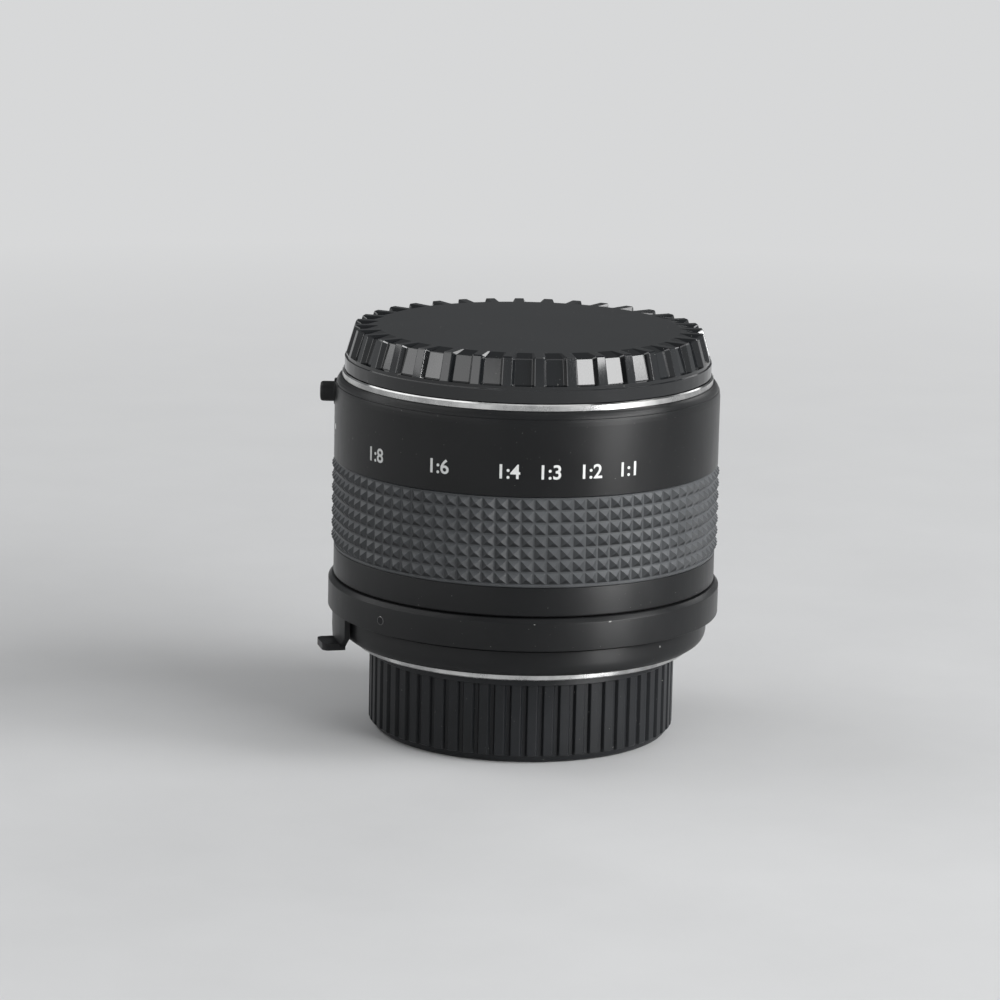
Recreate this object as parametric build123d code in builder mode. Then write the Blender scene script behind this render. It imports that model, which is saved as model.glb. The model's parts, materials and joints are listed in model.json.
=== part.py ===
import os
from math import asin, cos, degrees, radians, sin, sqrt

from build123d import *

os.makedirs("parts", exist_ok=True)

# A macro-focusing 2x teleconverter, standing on its rear cap with its front cap on.
# The optical axis is +Z, the rear cap's foot is at z = 0, and the front of the picture is -Y.
# Azimuths are in degrees about +Z, from +X. All lengths are in millimetres.

# Heights along the axis, from the foot up
rear_cap_height = 14.7
rear_flange_thickness = 1.2
base_ring_height = 4.8
coupling_ring_height = 5.3
focus_band_height = 4.9
grip_height = 15.0
front_barrel_height = 13.9
front_flange_thickness = 1.05
front_cap_height = 7.35

# Bayonet, the same at both ends: every radius of the body follows from it
bayonet_radius = 22.4
bayonet_wall = 1.4
bayonet_depth = 5.2
lug_reach = 1.6
lug_thickness = 1.3
lug_setback = 1.85
claw_thickness = 1.7
undercut_height = 2.15
collar_depth = 4.0
lug_span = 50.0
gap_span = 54.0
lug_azimuths = (90, 210, 330)

# Walls, from the bayonet out to the barrel's skin, and in to the glass
collar_wall = 1.05
rod_thickness = 1.3
sleeve_wall = 1.0
guide_wall = 1.2
focus_wall = 2.8
barrel_wall = 1.3
lever_thickness = 1.4
cell_wall = 1.9
baffle_thickness = 1.2
floor_thickness = 2.0
cap_wall = 2.0

# How far the outer rings stand out from the barrel's skin, or in from it
coupling_step = 0.7
grip_step = 0.3
band_inset = 0.15
base_inset = 1.2
neck_inset = 1.6
front_flange_inset = 1.25
rear_flange_inset = 3.8
front_cap_inset = 1.6

# Clearances
running_gap = 0.15
bearing_gap = 0.1
axial_gap = 0.12
glue_gap = 0.05
ring_gap = 0.2
pass_gap = 0.3
lug_gap = 0.35
slot_spare = 3.0

# How far a cut runs out past the surface that it opens, and how far joined forms run together
cut_margin = 1.0
weld = 0.1

# Linkages that pass the lens's settings from the front mount to the rear one
coupling_travel = 40.0
coupling_azimuth = 250.0
stopdown_travel = 20.0
stopdown_azimuth = 80.0
rod_width = 2.4
prong_width = 1.6
lever_width = 2.2
slider_span = 24.0

# The front barrel's shelf, which carries the mount, the release button and the lock pin
shelf_share = 0.43
lip_share = 0.35
button_share = 0.285
button_reach = 2.5
button_travel = 1.2
button_roof = 0.2
button_azimuth = 180.0
pin_radius = 0.8
pin_proud = 0.66
pin_travel = 0.9
pin_azimuth = 168.0

# Ribs on the caps
front_rib_count = 36
front_rib_share = 0.36
front_rib_phase = 3.6
front_rib_band = 4.6
rear_rib_count = 60
rear_rib_depth = 0.55

# Levels that follow from the heights
flange_z = rear_cap_height + pass_gap
base_z = flange_z + rear_flange_thickness
coupling_z = base_z + base_ring_height
coupling_low = coupling_z + axial_gap
coupling_top = coupling_low + coupling_ring_height
focus_z = coupling_top + ring_gap
grip_z = focus_z + focus_band_height
grip_top = grip_z + grip_height
barrel_z = grip_top + running_gap
barrel_top = barrel_z + front_barrel_height
mount_z = barrel_top + front_flange_thickness
front_cap_z = mount_z + bearing_gap
front_cap_top = front_cap_z + front_cap_height
shelf_low = barrel_top - shelf_share * front_barrel_height

# Radii that follow from the bayonet and the walls
lug_radius = bayonet_radius + lug_reach
bayonet_bore = bayonet_radius - bayonet_wall
throat_radius = bayonet_radius + ring_gap
undercut_radius = lug_radius + lug_gap
collar_radius = undercut_radius + collar_wall
rod_bore = collar_radius + pass_gap
rod_radius = rod_bore + rod_thickness
sleeve_bore = rod_radius + ring_gap
sleeve_radius = sleeve_bore + sleeve_wall
guide_bore = sleeve_radius + running_gap
guide_radius = guide_bore + guide_wall
focus_bore = guide_radius + running_gap
barrel_radius = focus_bore + focus_wall
coupling_radius = barrel_radius + coupling_step
grip_radius = barrel_radius + grip_step
band_radius = barrel_radius - band_inset
base_radius = barrel_radius - base_inset
neck_radius = barrel_radius - neck_inset
front_flange_radius = barrel_radius - front_flange_inset
rear_flange_radius = barrel_radius - rear_flange_inset
skirt_radius = barrel_radius - front_cap_inset
shoulder_reach = 1.0
lever_radius = bayonet_bore - pass_gap - lever_thickness
lever_outer = lever_radius + lever_thickness
cell_radius = lever_radius - pass_gap - shoulder_reach
glass_radius = cell_radius - cell_wall


def radial_plane(azimuth):
    """The half plane through the optical axis at an azimuth: x is the radius, y is the height."""
    angle = radians(azimuth)
    return Plane(origin=(0, 0, 0), x_dir=(cos(angle), sin(angle), 0), z_dir=(sin(angle), -cos(angle), 0))


def side_plane(radius, azimuth, height):
    """A plane that faces outwards from a barrel: x runs round it and y runs up."""
    angle = radians(azimuth)
    origin = (radius * cos(angle), radius * sin(angle), height)
    return Plane(origin=origin, x_dir=(-sin(angle), cos(angle), 0), z_dir=(cos(angle), sin(angle), 0))


def turned(outline, azimuth=0, span=360, mode=Mode.ADD):
    """A profile of (radius, height) points turned about the optical axis."""
    with BuildSketch(radial_plane(azimuth)) as face:
        with BuildLine():
            Polyline(outline, close=True)
        make_face()
    revolve(face.sketch, axis=Axis.Z, revolution_arc=span, mode=mode)


def ring(inner, outer, low, high, mode=Mode.ADD):
    """A plain ring about the optical axis."""
    turned([(inner, low), (outer, low), (outer, high), (inner, high)], mode=mode)


def sector(inner, outer, low, high, middle, span, mode=Mode.ADD):
    """A piece of a ring, centred on an azimuth."""
    outline = [(inner, low), (outer, low), (outer, high), (inner, high)]
    turned(outline, azimuth=middle - span / 2, span=span, mode=mode)


def drilled(radius, azimuth, height, outer, inner, mode=Mode.SUBTRACT):
    """A round hole or peg along a radius of the barrel, from one distance from the axis to another."""
    with BuildSketch(side_plane(outer, azimuth, height)) as face:
        Circle(radius)
    extrude(face.sketch, amount=inner - outer, mode=mode)


def upright(radius, distance, azimuth, low, high, mode=Mode.SUBTRACT):
    """A round hole or peg parallel to the axis, at a distance from it."""
    with BuildSketch(Plane.XY.offset(low)) as face:
        with Locations((distance * cos(radians(azimuth)), distance * sin(radians(azimuth)))):
            Circle(radius)
    extrude(face.sketch, amount=high - low, mode=mode)


def width_angle(width, radius):
    """The angle that a width takes up at a radius."""
    return degrees(2 * asin(width / 2 / radius))


def crown_point(semi, crown, x):
    """The height of a spherical surface at x, for a surface that falls by crown from its centre to semi."""
    sphere = (semi**2 + crown**2) / (2 * abs(crown))
    fall = sphere - sqrt(sphere**2 - x**2)
    return fall if crown > 0 else -fall


def save(piece, name):
    """Names a finished piece and writes it."""
    piece.part.label = name
    export_step(piece.part, f"parts/{name}.step")


# Rear mount: a flange with a male bayonet that points down into the rear cap
flange_chamfer = 0.2
web_bore = cell_radius + glue_gap
lever_angle = width_angle(lever_width, lever_radius)
stopdown_middle = stopdown_azimuth + stopdown_travel / 2
lever_slot = stopdown_travel + lever_angle + slot_spare
lug_top = flange_z - lug_setback
with BuildPart() as rear_mount_ring:
    turned([
        (web_bore, flange_z),
        (rear_flange_radius - flange_chamfer, flange_z),
        (rear_flange_radius, flange_z + flange_chamfer),
        (rear_flange_radius, base_z),
        (web_bore, base_z),
    ])
    ring(bayonet_bore, bayonet_radius, flange_z - bayonet_depth, flange_z)
    for azimuth in lug_azimuths:
        sector(bayonet_radius - weld, lug_radius, lug_top - lug_thickness, lug_top, azimuth, lug_span)
    sector(lever_radius - running_gap, lever_outer + running_gap, flange_z - cut_margin, base_z + cut_margin,
           stopdown_middle, lever_slot, Mode.SUBTRACT)
save(rear_mount_ring, "rear_mount_ring")

# Rear baffle: a black plate in the mouth of the bayonet, with a slot for the stop-down lever
rear_baffle_thickness = 0.8
with BuildPart() as rear_baffle:
    plate_low = flange_z - bayonet_depth + pass_gap
    plate_high = plate_low + rear_baffle_thickness
    ring(cell_radius + ring_gap, bayonet_bore - glue_gap, plate_low, plate_high)
    sector(lever_radius - ring_gap, bayonet_radius, plate_low - cut_margin, plate_high + cut_margin,
           stopdown_middle, lever_slot, Mode.SUBTRACT)
save(rear_baffle, "rear_baffle")

# Base ring: the fixed lower ring, with the neck that the coupling ring turns on
floor_bore = lug_radius + 2 * pass_gap
base_bore = guide_radius + glue_gap
foot_round = 1.2
foot_land = 0.2
foot_share = 0.45
retainer_thickness = 0.45
retainer_depth = 0.6
neck_top = coupling_top - retainer_depth + axial_gap
arm_low = coupling_z + 1.3
arm_high = arm_low + 1.5
arm_angle = width_angle(rod_width, rod_bore)
coupling_middle = coupling_azimuth + coupling_travel / 2
arm_window = coupling_travel + arm_angle + slot_spare
with BuildPart() as base_ring:
    with BuildSketch(Plane.XZ):
        with BuildLine():
            wall = Polyline(
                (base_radius, base_z + foot_share * base_ring_height),
                (base_radius, coupling_z),
                (neck_radius, coupling_z),
                (neck_radius, neck_top),
                (base_bore, neck_top),
                (base_bore, base_z + floor_thickness),
                (floor_bore, base_z + floor_thickness),
                (floor_bore, base_z),
                (base_radius - foot_round, base_z),
                (base_radius - foot_round, base_z + foot_land),
            )
            TangentArc(wall @ 0, wall @ 1, tangent=(0, -1))
        make_face()
    revolve(axis=Axis.Z)
    sector(base_bore - cut_margin, neck_radius + pass_gap, arm_low - pass_gap, arm_high + pass_gap,
           coupling_middle, arm_window, Mode.SUBTRACT)
save(base_ring, "base_ring")

# Guide tube: the fixed tube that the focusing thread and the magnification scale are cut on
key_width = 3.0
key_height = 4.5
key_azimuths = (0, 180)
key_low = focus_z - 0.7
key_land = 0.8
sleeve_flange = 1.2
guide_top = shelf_low - sleeve_flange - running_gap
focus_travel = guide_top - key_land - key_height - key_low
with BuildPart() as guide_tube:
    ring(guide_bore, guide_radius, base_z + floor_thickness, guide_top)
    slot_top = key_low + key_height + focus_travel + ring_gap
    for azimuth in key_azimuths:
        sector(guide_bore - cut_margin, guide_radius + cut_margin, key_low - ring_gap, slot_top, azimuth,
               width_angle(key_width + ring_gap, guide_radius), Mode.SUBTRACT)
    sector(guide_bore - cut_margin, guide_radius + cut_margin, arm_low - pass_gap, arm_high + pass_gap,
           coupling_middle, arm_window, Mode.SUBTRACT)
save(guide_tube, "guide_tube")

# Coupling retainer: a thin ring on the neck that keeps the coupling ring down
retainer_reach = 0.7
with BuildPart() as coupling_retainer:
    ring(guide_radius + glue_gap, neck_radius + retainer_reach, neck_top, neck_top + retainer_thickness)
save(coupling_retainer, "coupling_retainer")

# Aperture coupling ring: turns on the neck, and carries the tab that the camera reads
coupling_bore = neck_radius + bearing_gap
coupling_chamfer = 0.65
recess_radius = neck_radius + retainer_reach + running_gap
arm_seat = coupling_bore + 0.85
tab_azimuth = 195.0
tab_width = 10.0
tab_thickness = 0.9
tab_pocket = 2.4
tab_inner = base_radius + pass_gap
tab_outer = tab_inner + tab_thickness
with BuildPart() as coupling_ring:
    turned([
        (coupling_bore, coupling_low),
        (coupling_radius, coupling_low),
        (coupling_radius, coupling_top - coupling_chamfer),
        (coupling_radius - coupling_chamfer, coupling_top),
        (recess_radius, coupling_top),
        (recess_radius, coupling_top - retainer_depth),
        (coupling_bore, coupling_top - retainer_depth),
    ])
    sector(tab_inner - glue_gap, tab_outer + glue_gap, coupling_low - cut_margin, coupling_low + tab_pocket,
           tab_azimuth, width_angle(tab_width + 2 * glue_gap, tab_inner), Mode.SUBTRACT)
    sector(coupling_bore - cut_margin, arm_seat + glue_gap, arm_low - glue_gap, arm_high + glue_gap,
           coupling_azimuth, width_angle(rod_width + 2 * glue_gap, coupling_bore), Mode.SUBTRACT)
save(coupling_ring, "coupling_ring")

# Coupling tab: a pressed hook, bent to the ring's curve, whose toe reaches out below the flange
tab_shoulder = 1.3
toe_width = 5.8
toe_top = 0.6
toe_reach = 2.8
toe_thickness = 1.15
toe_corner = 1.2
with BuildPart() as coupling_tab:
    with BuildSketch(side_plane(0, tab_azimuth, 0)) as blade:
        with BuildLine():
            Polyline(
                (-toe_width / 2, flange_z),
                (toe_width / 2, flange_z),
                (toe_width / 2, flange_z + toe_top),
                (tab_width / 2, base_z + tab_shoulder),
                (tab_width / 2, coupling_low + tab_pocket - glue_gap),
                (-tab_width / 2, coupling_low + tab_pocket - glue_gap),
                (-tab_width / 2, base_z + tab_shoulder),
                (-toe_width / 2, flange_z + toe_top),
                close=True,
            )
        make_face()
    extrude(blade.sketch, amount=barrel_radius + coupling_step)
    ring(tab_inner, tab_outer, flange_z, coupling_z + coupling_ring_height, Mode.INTERSECT)
    toe_root = (tab_inner + tab_outer) / 2
    toe_end = tab_outer + toe_reach
    toe_plane = Plane(origin=(0, 0, flange_z), x_dir=radial_plane(tab_azimuth).x_dir, z_dir=(0, 0, 1))
    with BuildSketch(toe_plane) as toe:
        with Locations(((toe_root + toe_end) / 2, 0)):
            Rectangle(toe_end - toe_root, toe_width)
        fillet(toe.vertices().group_by(Axis.X)[-1], toe_corner)
    extrude(toe.sketch, amount=toe_thickness)
save(coupling_tab, "coupling_tab")

# Coupling arm: carries the coupling ring's turn through the window to a rod inside
baffle_top = shelf_low - 1.8
rod_top = baffle_top - 0.25
with BuildPart() as coupling_arm:
    sector(rod_bore, arm_seat, arm_low, arm_high, coupling_azimuth, width_angle(rod_width, coupling_bore))
    sector(rod_bore, rod_radius, arm_low, rod_top, coupling_azimuth, width_angle(rod_width, rod_radius))
save(coupling_arm, "coupling_arm")

# Rear stop-down lever: a curved slider on the base floor, with its tab out of the back
slider_low = base_z + floor_thickness + pass_gap
slider_height = 1.5
lever_reach = 6.5
with BuildPart() as rear_stopdown_lever:
    sector(lever_radius, rod_radius, slider_low, slider_low + slider_height, stopdown_azimuth, slider_span)
    sector(lever_radius, lever_outer, flange_z - lever_reach, slider_low + slider_height,
           stopdown_azimuth, lever_angle)
    sector(rod_bore, rod_radius, slider_low, rod_top, stopdown_azimuth, width_angle(rod_width, rod_radius))
save(rear_stopdown_lever, "rear_stopdown_lever")

# Lens cell: screwed into the mount's web, with the glass stacked inside it
cell_rear = flange_z - 6.0
cell_front = baffle_top - baffle_thickness - 2.1
shoulder_height = 1.5
nose_height = 1.2
nose_inset = 0.6
glass_rim = 1.7
cell_bore = glass_radius + glue_gap
clear_radius = glass_radius - glass_rim
with BuildPart() as lens_cell:
    turned([
        (cell_bore, cell_rear),
        (cell_radius, cell_rear),
        (cell_radius, base_z),
        (cell_radius + shoulder_reach, base_z),
        (cell_radius + shoulder_reach, base_z + shoulder_height),
        (cell_radius, base_z + shoulder_height),
        (cell_radius, cell_front - nose_height),
        (cell_radius - nose_inset, cell_front),
        (cell_bore, cell_front),
    ])
save(lens_cell, "lens_cell")


def lens_element(name, low, edge, rear_crown, front_crown):
    """A glass element with flat rims. A crown bulges outwards, is hollow if negative, or flat if it is 0."""
    high = low + edge
    half = clear_radius / 2
    with BuildPart() as element:
        with BuildSketch(Plane.XZ):
            with BuildLine():
                if rear_crown:
                    rear_mid = (half, low - rear_crown + crown_point(clear_radius, rear_crown, half))
                    ThreePointArc((0, low - rear_crown), rear_mid, (clear_radius, low))
                    Line((clear_radius, low), (glass_radius, low))
                else:
                    Line((0, low), (glass_radius, low))
                Line((glass_radius, low), (glass_radius, high))
                if front_crown:
                    front_mid = (half, high + front_crown - crown_point(clear_radius, front_crown, half))
                    Line((glass_radius, high), (clear_radius, high))
                    ThreePointArc((clear_radius, high), front_mid, (0, high + front_crown))
                else:
                    Line((glass_radius, high), (0, high))
                Line((0, high + front_crown), (0, low - rear_crown))
            make_face()
        revolve(axis=Axis.Z)
    save(element, name)


# Glass stack, from the rear lock ring to the front one: edge, rear crown, front crown, space in front
lock_ring_height = 1.3
lock_ring_bore = glass_radius - 1.5
spacer_bore = glass_radius - 1.1
elements = {
    "rear_element": (3.6, 1.5, 0.0, 3.6),
    "rear_inner_element": (4.2, 0.0, -1.6, 2.2),
    "relay_doublet": (7.4, 1.7, 0.0, 3.8),
    "field_doublet": (6.4, -1.2, 1.5, 2.6),
    "front_element": (2.8, 0.0, 1.6, 0.0),
}
stack_low = cell_rear + 0.4
stack_high = cell_front - 0.9
rear_lock_top = stack_low + lock_ring_height
glass_room = stack_high - lock_ring_height - rear_lock_top
stack_height = sum(edge + space for edge, _, _, space in elements.values())
spare = (glass_room - stack_height) / (len(elements) - 1)
with BuildPart() as rear_lock_ring:
    ring(lock_ring_bore, glass_radius, stack_low, rear_lock_top)
save(rear_lock_ring, "rear_lock_ring")

level = rear_lock_top
for number, (name, (edge, rear_crown, front_crown, space)) in enumerate(elements.items(), 1):
    lens_element(name, level, edge, rear_crown, front_crown)
    level += edge
    if space:
        with BuildPart() as spacer:
            ring(spacer_bore, glass_radius, level, level + space + spare)
        save(spacer, f"spacer_{number}")
        level += space + spare

with BuildPart() as front_lock_ring:
    ring(lock_ring_bore, glass_radius, level, level + lock_ring_height)
save(front_lock_ring, "front_lock_ring")

# Front barrel: the outer shell with a thick shelf that carries the mount
shelf_bore = collar_radius + ring_gap
slot_bore = shelf_bore - ring_gap
lip_bore = focus_bore + 0.9
lip_top = barrel_z + lip_share * front_barrel_height
barrel_bore = barrel_radius - barrel_wall
coupling_seat = barrel_top - 1.25
seat_radius = front_flange_radius - 1.15
prong_angle = width_angle(prong_width, rod_bore)
prong_offset = (width_angle(rod_width + pass_gap, rod_bore) + prong_angle) / 2
fork_span = 2 * prong_offset + prong_angle
coupling_slot = coupling_travel + fork_span + slot_spare
stopdown_slot = stopdown_travel + fork_span + slot_spare
button_radius = button_share * (barrel_top - shelf_low)
button_z = coupling_seat - button_roof - running_gap - button_radius
button_inner = seat_radius - 0.9
pin_distance = collar_radius + 1.5
with BuildPart() as front_barrel:
    turned([
        (lip_bore, barrel_z),
        (barrel_radius, barrel_z),
        (barrel_radius, coupling_seat),
        (seat_radius, coupling_seat),
        (seat_radius, barrel_top),
        (shelf_bore, barrel_top),
        (shelf_bore, shelf_low),
        (barrel_bore, shelf_low),
        (barrel_bore, lip_top),
        (lip_bore, lip_top),
    ])
    sector(slot_bore, sleeve_bore, shelf_low - cut_margin, barrel_top + cut_margin, coupling_middle,
           coupling_slot, Mode.SUBTRACT)
    sector(slot_bore, seat_radius + ring_gap, coupling_seat - glue_gap, barrel_top + cut_margin,
           coupling_middle, coupling_slot, Mode.SUBTRACT)
    drilled(button_radius + running_gap, button_azimuth, button_z, barrel_radius + cut_margin,
            button_inner - button_travel - running_gap)
    upright(pin_radius + bearing_gap, pin_distance, pin_azimuth, shelf_low + pass_gap, barrel_top + cut_margin)
save(front_barrel, "front_barrel")

# Front sleeve: slides in the guide tube and hangs from the shelf
sleeve_low = arm_high + 0.8
key_floor = sleeve_radius - 0.4
with BuildPart() as front_sleeve:
    ring(sleeve_bore, sleeve_radius, sleeve_low, shelf_low)
    ring(sleeve_bore, barrel_bore - pass_gap, shelf_low - sleeve_flange, shelf_low)
    for azimuth in key_azimuths:
        sector(key_floor, sleeve_radius + cut_margin, key_low, key_low + key_height, azimuth,
               width_angle(key_width, sleeve_radius), Mode.SUBTRACT)
save(front_sleeve, "front_sleeve")

# Guide keys: sit in the sleeve and slide along the guide tube's slots
with BuildPart() as guide_keys:
    for azimuth in key_azimuths:
        sector(key_floor + glue_gap, guide_radius - bearing_gap, key_low + glue_gap,
               key_low + key_height - glue_gap, azimuth, width_angle(key_width - bearing_gap, guide_radius))
save(guide_keys, "guide_keys")

# Front baffle: the black plate behind the front mount that the front stop-down lever slides on
baffle_low = baffle_top - baffle_thickness
with BuildPart() as front_baffle:
    ring(lever_radius - pass_gap, sleeve_bore - glue_gap, baffle_low, baffle_top)
    for middle, span in ((coupling_middle, coupling_slot), (stopdown_middle, stopdown_slot)):
        sector(rod_bore - ring_gap, sleeve_bore + cut_margin, baffle_low - cut_margin, baffle_top + cut_margin,
               middle, span, Mode.SUBTRACT)
save(front_baffle, "front_baffle")

# Front stop-down lever: follows the rear one through a fork that slides along its rod
front_slider_low = baffle_top + pass_gap
front_slider_top = front_slider_low + 1.2
front_lever_top = mount_z - 2.6
fork_low = sleeve_low + 1.2
with BuildPart() as front_stopdown_lever:
    sector(lever_radius, rod_radius, front_slider_low, front_slider_top, stopdown_azimuth, slider_span)
    sector(lever_radius, lever_outer, front_slider_low, front_lever_top, stopdown_azimuth, lever_angle)
    for side in (-1, 1):
        sector(rod_bore, rod_radius, fork_low, front_slider_top, stopdown_azimuth + side * prong_offset,
               width_angle(prong_width, rod_radius))
save(front_stopdown_lever, "front_stopdown_lever")

# Front coupling ring: turned by the front lens's aperture ring, through the lug that stands up
ring_low = coupling_seat + bearing_gap
ring_high = barrel_top - bearing_gap
lens_lug_azimuth = 70.0
lens_lug_span = 6.0
lens_lug_rise = 1.4
with BuildPart() as front_coupling_ring:
    turned([
        (seat_radius + bearing_gap, ring_low),
        (barrel_radius - glue_gap, ring_low),
        (front_flange_radius + bearing_gap, ring_high),
        (seat_radius + bearing_gap, ring_high),
    ])
    sector(front_flange_radius + running_gap, barrel_radius - running_gap, ring_low, mount_z + lens_lug_rise,
           lens_lug_azimuth, lens_lug_span)
save(front_coupling_ring, "front_coupling_ring")

# Coupling fork: fixed inside the front coupling ring, with two prongs that slide along the rear rod
with BuildPart() as coupling_fork:
    sector(rod_bore, seat_radius + glue_gap, ring_low, ring_high, coupling_azimuth, fork_span)
    for side in (-1, 1):
        sector(rod_bore, rod_radius, fork_low, ring_high, coupling_azimuth + side * prong_offset,
               width_angle(prong_width, rod_radius))
save(coupling_fork, "coupling_fork")

# Front mount: a flange with three claws that a lens's bayonet turns under
claw_low = mount_z - claw_thickness
undercut_low = claw_low - undercut_height
with BuildPart() as front_mount_ring:
    turned([
        (throat_radius + ring_gap, barrel_top - collar_depth),
        (collar_radius, barrel_top - collar_depth),
        (collar_radius, barrel_top),
        (front_flange_radius, barrel_top),
        (front_flange_radius, mount_z - flange_chamfer),
        (front_flange_radius - flange_chamfer, mount_z),
        (throat_radius, mount_z),
        (throat_radius, claw_low),
        (undercut_radius, claw_low),
        (undercut_radius, undercut_low),
        (throat_radius + ring_gap, undercut_low),
    ])
    for azimuth in lug_azimuths:
        sector(throat_radius - cut_margin, undercut_radius, claw_low - weld, mount_z + cut_margin, azimuth,
               gap_span, Mode.SUBTRACT)
    upright(pin_radius + bearing_gap, pin_distance, pin_azimuth, barrel_top - cut_margin, mount_z + cut_margin)
save(front_mount_ring, "front_mount_ring")

# Leaf springs: three strips on the undercut's floor that press a lens against the claws
spring_low = undercut_low + 0.02
spring_thickness = 0.25
spring_span = 40.0
claw_step = 60.0
with BuildPart() as front_mount_springs:
    for azimuth in lug_azimuths:
        sector(throat_radius + lug_gap, undercut_radius - bearing_gap, spring_low,
               spring_low + spring_thickness, azimuth + claw_step, spring_span)
save(front_mount_springs, "front_mount_springs")

# Focusing ring: turns on the guide tube's thread, and is held to the front barrel by its retainer
neck_outer = lip_bore - running_gap
focus_neck_top = lip_top + running_gap
grip_seat = band_radius - 1.0
band_chamfer = 0.25
with BuildPart() as focus_ring:
    turned([
        (focus_bore, focus_z),
        (band_radius - band_chamfer, focus_z),
        (band_radius, focus_z + band_chamfer),
        (band_radius, grip_z),
        (grip_seat, grip_z),
        (grip_seat, grip_top),
        (neck_outer, grip_top),
        (neck_outer, focus_neck_top),
        (focus_bore, focus_neck_top),
    ])
save(focus_ring, "focus_ring")

# Focus retainer: a ring on the focusing ring's neck that hooks over the barrel's lip
focus_retainer_thickness = 0.9
with BuildPart() as focus_retainer:
    ring(focus_bore + 0.02, barrel_bore - running_gap, focus_neck_top, focus_neck_top + focus_retainer_thickness)
save(focus_retainer, "focus_retainer")

# Rubber grip: rows of raised ridges, between a narrow land at its top and a plain lip at its foot
grip_rows = 7
grip_lip = 0.45
grip_land = 0.15
grip_depth = 0.65
grip_end_gap = 0.02
grip_row_pitch = (grip_height - grip_lip - grip_land) / grip_rows
with BuildPart() as rubber_grip:
    valley = grip_radius - grip_depth
    grip_low = grip_z + grip_end_gap
    grip_high = grip_top - grip_end_gap
    first_row = grip_z + grip_lip
    ridges = [(valley, grip_low)]
    for row in range(grip_rows):
        ridges += [
            (valley, first_row + row * grip_row_pitch),
            (grip_radius, first_row + (row + 0.5) * grip_row_pitch),
        ]
    ridges += [
        (valley, first_row + grip_rows * grip_row_pitch),
        (valley, grip_high),
        (grip_seat + glue_gap, grip_high),
        (grip_seat + glue_gap, grip_low),
    ]
    turned(ridges)
save(rubber_grip, "rubber_grip")

# Release button: a plunger in the barrel's side
button_chamfer = 0.45
with BuildPart() as release_button:
    drilled(button_radius, button_azimuth, button_z, barrel_radius + button_reach, button_inner, Mode.ADD)
    outer_end = release_button.edges().filter_by(GeomType.CIRCLE).sort_by(Axis.X)[0]
    chamfer(outer_end, button_chamfer)
save(release_button, "release_button")

# Lock pin: drops into the flange when the button is pressed
pin_chamfer = 0.25
pin_foot = shelf_low + pass_gap + pin_travel + 1.2
with BuildPart() as lock_pin:
    upright(pin_radius, pin_distance, pin_azimuth, pin_foot, mount_z + pin_proud, Mode.ADD)
    pin_top = lock_pin.edges().filter_by(GeomType.CIRCLE).sort_by(Axis.Z)[-1]
    chamfer(pin_top, pin_chamfer)
save(lock_pin, "lock_pin")

# Front cap: a moulded disc with a ring of raised ribs that run in over its rim
rib_low = front_cap_top - front_rib_band
rib_step = 0.25
rib_foot = 0.6
rim_taper = 1.3
rib_radius = skirt_radius - rib_step
rim_radius = rib_radius - rim_taper
panel_run = 3.85
panel_depth = 0.85
panel_drop = 0.45
skirt_wall = 2.6
cap_tube_radius = bayonet_radius - bearing_gap
cap_tube_bore = cap_tube_radius - bayonet_wall
cap_lug_top = mount_z - lug_setback
cap_lug_low = cap_lug_top - lug_thickness
disc_low = front_cap_top - cap_wall
with BuildPart() as front_cap:
    turned([
        (0, front_cap_z),
        (skirt_radius, front_cap_z),
        (skirt_radius, rib_low - rib_foot),
        (rib_radius, rib_low - rib_foot),
        (rib_radius, rib_low),
        (rim_radius, front_cap_top),
        (0, front_cap_top),
    ])
    rib_pitch = 360 / front_rib_count
    panel_outline = [
        (rim_radius - panel_run, front_cap_top),
        (rim_radius - panel_depth, front_cap_top - panel_drop),
        (rib_radius - panel_depth, rib_low),
        (skirt_radius + cut_margin, rib_low),
        (skirt_radius + cut_margin, front_cap_top + cut_margin),
        (rim_radius - panel_run, front_cap_top + cut_margin),
    ]
    for number in range(front_rib_count):
        panel_start = front_rib_phase + (number + front_rib_share / 2) * rib_pitch
        turned(panel_outline, panel_start, rib_pitch * (1 - front_rib_share), Mode.SUBTRACT)
    ring(0, skirt_radius - skirt_wall, front_cap_z - cut_margin, front_cap_top - skirt_wall, Mode.SUBTRACT)
    ring(cap_tube_bore, cap_tube_radius, cap_lug_low - ring_gap, disc_low)
    ring(0, cap_tube_bore, disc_low - cut_margin, disc_low, Mode.SUBTRACT)
    for azimuth in lug_azimuths:
        sector(cap_tube_radius - ring_gap, lug_radius, cap_lug_low, cap_lug_top, azimuth, lug_span)
save(front_cap, "front_cap")

# Rear cap: a ribbed cup with three claws inside its mouth
rear_cap_wall = 1.7
rear_cap_bore = lug_radius + 0.4
rear_cap_radius = rear_cap_bore + rear_cap_wall
rear_rib_low = 1.3
rear_lip = 1.3
rear_lip_step = 0.12
rear_rib_radius = rear_cap_radius - rear_lip_step
rear_foot_radius = rear_rib_radius - rear_rib_depth - bearing_gap
rear_foot_round = 1.1
rear_claw_low = flange_z - lug_setback + running_gap


def rib_outline(outer, depth, count):
    """A round outline with grooves cut into it, each as wide as the rib beside it."""
    points = []
    for number in range(2 * count):
        radius = outer if number % 2 else outer - depth
        for angle in (radians(number * 180 / count), radians((number + 1) * 180 / count)):
            points.append((radius * cos(angle), radius * sin(angle)))
    return points


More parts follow.
